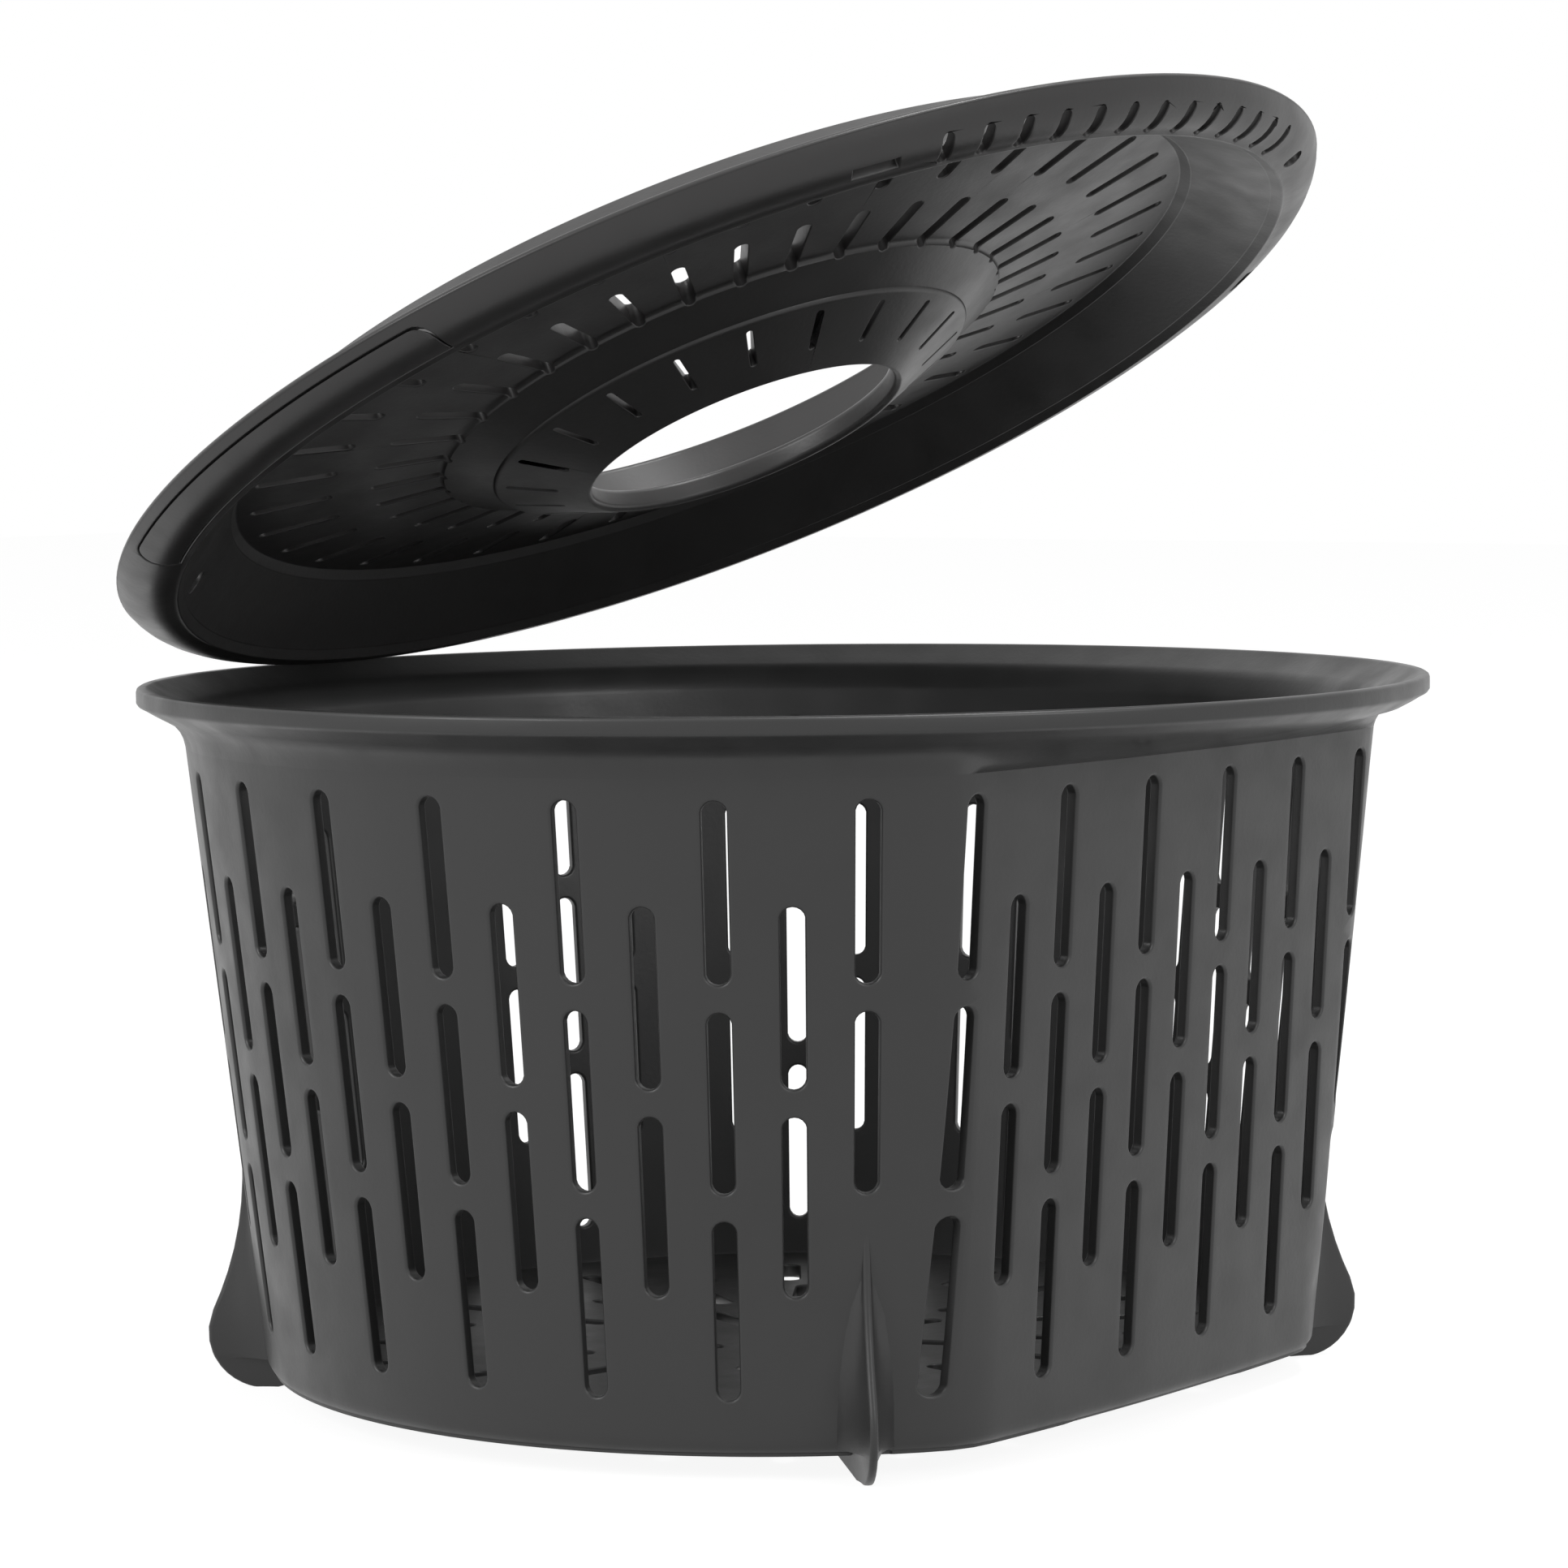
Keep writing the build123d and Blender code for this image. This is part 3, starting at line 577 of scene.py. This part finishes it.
def arc_points(first, middle, last, count):
    """Points on the arc through three points, both ends included."""
    (x1, y1), (x2, y2), (x3, y3) = first, middle, last
    d = 2 * (x1 * (y2 - y3) + x2 * (y3 - y1) + x3 * (y1 - y2))
    s1, s2, s3 = x1 * x1 + y1 * y1, x2 * x2 + y2 * y2, x3 * x3 + y3 * y3
    cx = (s1 * (y2 - y3) + s2 * (y3 - y1) + s3 * (y1 - y2)) / d
    cy = (s1 * (x3 - x2) + s2 * (x1 - x3) + s3 * (x2 - x1)) / d
    start, end = atan2(y1 - cy, x1 - cx), atan2(y3 - cy, x3 - cx)
    radius = hypot(x1 - cx, y1 - cy)
    turns = [start + (end - start) * k / (count - 1) for k in range(count)]
    return [(cx + radius * cos(turn), cy + radius * sin(turn)) for turn in turns]


def rounded(corners, steps=4, straight=1.5):
    """Rounds each (x, y, radius) corner of a closed outline, but no nearly straight one."""
    points = []
    for index, (x, y, radius) in enumerate(corners):
        corner = Vector((x, y))
        before = (Vector(corners[index - 1][:2]) - corner).normalized()
        after = (Vector(corners[(index + 1) % len(corners)][:2]) - corner).normalized()
        half = before.angle(after) / 2
        if radius == 0 or half > straight:
            points.append(corner)
            continue
        centre = corner + (before + after).normalized() * radius / sin(half)
        start = (corner + before * radius / tan(half)) - centre
        end = (corner + after * radius / tan(half)) - centre
        for k in range(steps + 1):
            points.append(centre + start.slerp(end, k / steps))
    return points


belly = [(x, y, 0) for x, y in arc_points((109.5, 4.3), (107.2, 0.9), (101.6, -1.0), 9)]
inner_belly = [(x, y, 0) for x, y in arc_points((101.2, 1.3), (105.0, 2.0), (107.4, 4.3), 7)]
lid_profile = rounded(
    [(109.5, 5.2, 0.85)] + belly
    + [(100.9, -1.0, 0.6), (98.9, -0.4, 1.4), (89.2, 10.2, 3.0), (86.6, 11.0, 2.0), (48.2, 8.4, 4.0),
       (47.3, -3.7, 5.2), (28.3, -5.7, 0.5), (28.3, -2.7, 0.5), (45.0, -0.7, 3.2), (45.8, 9.3, 1.8),
       (82.4, 12.0, 1.0), (83.4, 14.9, 1.0), (87.6, 14.9, 1.8), (99.6, 1.6, 2.0)]
    + inner_belly + [(107.5, 5.2, 0.6)])
lid_azimuths = [radians(LID_FIRST_AZIMUTH) + 2 * pi * k / LID_COLUMNS for k in range(LID_COLUMNS + 1)]
lid_profile.append(lid_profile[0])


def on_lid(azimuth, point):
    """A point of the profile, turned to an azimuth."""
    return Vector((point[0] * sin(azimuth), -point[0] * cos(azimuth), point[1]))


def panel_zone(name, extra):
    """The room of the flush panel in the band, grown by extra, with rounded upper corners."""
    reach = radians(PANEL_HALF_ANGLE) * PANEL_CIRCLE + extra

    def place(along, side):
        """A point so far along the band, on one of the zone's four long edges."""
        inner, low = side
        short = max(0.0, PANEL_CORNER - (reach - abs(along)))
        top = PANEL_TOP + extra - PANEL_CORNER + sqrt(max(PANEL_CORNER ** 2 - short ** 2, 0.0))
        azimuth = radians(PANEL_AZIMUTH) + along / PANEL_CIRCLE
        radius = PANEL_INNER - extra if inner else PANEL_OUTER
        return on_lid(azimuth, (radius, PANEL_FOOT if low else top))

    ends = [reach - PANEL_CORNER * (1 - sin(radians(turn))) for turn in range(0, 91, PANEL_CORNER_STEP)]
    steps = [reach * step / PANEL_HALF_STEPS for step in range(1 - PANEL_HALF_STEPS, PANEL_HALF_STEPS)]
    steps = [step for step in steps if abs(step) < ends[0] - PANEL_LEAST_STEP]
    columns = [-end for end in reversed(ends)] + steps + ends
    corners = [(False, True), (False, False), (True, False), (True, True), (False, True)]
    zone = grid(name, columns, corners, place)
    welded(zone, BUILD_MERGE, fill=True)
    return zone


def lid_blank(name):
    """The turned wall of the lid, before anything is cut in it."""
    blank = grid(name, lid_azimuths, lid_profile, on_lid)
    welded(blank, BUILD_MERGE)
    return blank


def ring_of(radius, count):
    """Places for a full ring of radial slots."""
    return [radial(radius, 360 * (index + 0.5) / count, 0) for index in range(count)]


lid = lid_blank("lid_shell")
cut(lid, panel_zone("panel_room", PANEL_CLEARANCE))
for circle, length in (INNER_SLOTS, OUTER_SLOTS):
    cut(lid, copies(slot_cutter(LID_SLOT_WIDTH, length, LID_CUT_DEPTH), ring_of(circle, LID_SLOTS)))
cut(lid, copies(slot_cutter(HUB_SLIT_WIDTH, HUB_SLIT_LENGTH, LID_CUT_DEPTH),
                ring_of(HUB_SLIT_CIRCLE, HUB_SLITS)))
band_places = [radial(BAND_CIRCLE, BAND_SLOT_AZIMUTH + (index - (BAND_SLOTS - 1) / 2) * BAND_SLOT_PITCH, 0)
               for index in range(BAND_SLOTS)]
cut(lid, copies(slot_cutter(BAND_SLOT_WIDTH, BAND_SLOT_LENGTH, LID_CUT_DEPTH), band_places))
cut(lid, copies(slot_cutter(ROUND_HOLE_WIDTH, ROUND_HOLE_LENGTH, LID_CUT_DEPTH),
                [radial(circle, azimuth, 0) for circle, azimuth in ROUND_HOLES]))
bpy.ops.object.select_all(action="DESELECT")
bpy.ops.mesh.primitive_cube_add(size=1, scale=(WINDOW_SIZE[0], LID_CUT_DEPTH, WINDOW_SIZE[1]))
window = bpy.context.object
bpy.ops.object.transform_apply(scale=True)
cut(lid, copies(window, [radial(BAND_CIRCLE, azimuth, 0) for azimuth in WINDOW_AZIMUTHS]))
round_edges(lid, LID_EDGE_ROUNDING, lambda point: True, LID_SHARP_ANGLE)

to_open = (Matrix.Translation(HINGE) @ Matrix.Rotation(radians(LID_OPEN_ANGLE), 4, (-1, 0, 0))
           @ Matrix.Translation(-HINGE) @ Matrix.Translation((0, 0, LID_BASE)))
lid.data.transform(to_open)
closed(lid, LID_SMOOTHING)
LID_ROUGHNESS = 0.38
# The lid's copy of the plastic is drawn a little darker, and faintly warmer, than the basket's. The
# darkness is painted shade, standing in for the shadow over the lid's underside.
charcoal_lid_painted_shade = moulded_plastic("charcoal_polypropylene_lid_painted_shade", "#272626", "#2c2b2b", LID_ROUGHNESS)
finished(lid, charcoal_lid_painted_shade, "lid", "lid_plastic",
         "lid_rim", "lid_shoulder", "lid_vent_plate", "lid_hub_ring", "lid_hub_base")


# Side panel: a separate strip let into the lid's band, flush with it.
# It is the same plastic, snapped in, and shows only as a fine line with rounded ends.
panel = lid_blank("lid_side_insert")
zone = panel_zone("panel_body", 0.0)
applied(panel, "BOOLEAN", operation="INTERSECT", solver="EXACT", object=zone)
bpy.data.objects.remove(zone)
round_edges(panel, LID_EDGE_ROUNDING, lambda point: True, LID_SHARP_ANGLE)
panel.data.transform(to_open)
closed(panel, LID_SMOOTHING)
finished(panel, charcoal_lid_painted_shade, "lid", "lid_plastic", "lid_side_panel")


# Table and light: a white table in a white studio, with soft light from large lamps.
# Where the eye looks straight or by a reflection, both are white. The table's own matt grey
# takes the object's shadow and keeps light from being thrown up under the lid.
PAPER_GLOW = 0.91
PAPER_ROUGHNESS = 0.9
ROOM_LIGHT = 0.35
TABLE_SIZE = 8.0
LAMP_AIM = Vector((0, 0, 0.1))
bpy.ops.object.select_all(action="DESELECT")
bpy.ops.mesh.primitive_plane_add(size=TABLE_SIZE)
table = bpy.context.object
table.name = "table"


def looked_at(tree):
    """One where a ray comes from the eye, from a reflection or through glass."""
    path = add(tree, "ShaderNodeLightPath", {})
    gloss = add(tree, "ShaderNodeMath",
                {0: path.outputs["Is Camera Ray"], 1: path.outputs["Is Glossy Ray"]})
    through = add(tree, "ShaderNodeMath", {0: gloss.outputs[0], 1: path.outputs["Is Transmission Ray"]},
                  use_clamp=True)
    return through.outputs[0]


paper = bpy.data.materials.new("matt_white_paper")
paper.use_nodes = True
paper_tree = paper.node_tree
matt = paper_tree.nodes["Principled BSDF"]
matt.inputs["Base Color"].default_value = linear("#808080")
matt.inputs["Roughness"].default_value = PAPER_ROUGHNESS
matt.inputs["Specular IOR Level"].default_value = 0.0
lift = add(paper_tree, "ShaderNodeMath", {0: looked_at(paper_tree), 1: PAPER_GLOW}, operation="MULTIPLY")
glow = add(paper_tree, "ShaderNodeEmission", {"Strength": lift.outputs[0]})
both = add(paper_tree, "ShaderNodeAddShader", {0: matt.outputs[0], 1: glow.outputs[0]})
paper_tree.links.new(both.outputs[0], paper_tree.nodes["Material Output"].inputs["Surface"])
table.data.materials.append(paper)

world = bpy.data.worlds.new("white_studio")
world.use_nodes = True
bpy.context.scene.world = world
sky = world.node_tree
seen = sky.nodes["Background"]
seen.inputs["Color"].default_value = (1, 1, 1, 1)
level = add(sky, "ShaderNodeMapRange", {"Value": looked_at(sky), "To Min": ROOM_LIGHT, "To Max": 1.0})
sky.links.new(level.outputs["Result"], seen.inputs["Strength"])


def soft_lamp(name, position, size, power):
    """A square soft lamp that faces the object."""
    light = bpy.data.lights.new(name, "AREA")
    light.size = size
    light.energy = power
    lamp = bpy.data.objects.new(name, light)
    bpy.context.collection.objects.link(lamp)
    lamp.location = position
    lamp.rotation_euler = (LAMP_AIM - Vector(position)).to_track_quat("-Z", "Y").to_euler()


soft_lamp("lamp_left", (-1.5, 0.5, 0.9), 0.9, 14.0)
soft_lamp("lamp_camera", (-0.3, -1.6, 0.9), 0.8, 9.0)
soft_lamp("lamp_top", (0.2, -0.3, 1.6), 0.5, 14.0)


# Camera: placed by a fit to the photograph, about 0.89 m from the basket's axis,
# a little above the rim, and turned slightly down.
CAMERA_AZIMUTH = radians(-52.62)
CAMERA_DISTANCE = 0.8864
CAMERA_HEIGHT = 0.17043
CAMERA_PITCH = radians(4.386)
CAMERA_ROLL = radians(0.674)
CAMERA_LENS = 118.97
CAMERA_SENSOR = 36.0

forward = Vector((-sin(CAMERA_AZIMUTH) * cos(CAMERA_PITCH), cos(CAMERA_AZIMUTH) * cos(CAMERA_PITCH),
                  -sin(CAMERA_PITCH)))
right = forward.cross(Vector((0, 0, 1))).normalized()
down = forward.cross(right)
across = cos(CAMERA_ROLL) * right + sin(CAMERA_ROLL) * down
below = cos(CAMERA_ROLL) * down - sin(CAMERA_ROLL) * right
camera_data = bpy.data.cameras.new("camera")
camera_data.lens = CAMERA_LENS
camera_data.sensor_width = CAMERA_SENSOR
camera = bpy.data.objects.new("camera", camera_data)
bpy.context.collection.objects.link(camera)
camera_turn = Matrix((across, -below, -forward)).transposed().to_4x4()
camera_place = (CAMERA_DISTANCE * sin(CAMERA_AZIMUTH), -CAMERA_DISTANCE * cos(CAMERA_AZIMUTH),
                CAMERA_HEIGHT)
camera.matrix_world = Matrix.Translation(camera_place) @ camera_turn
bpy.context.scene.camera = camera
bpy.context.scene.view_settings.view_transform = "Standard"
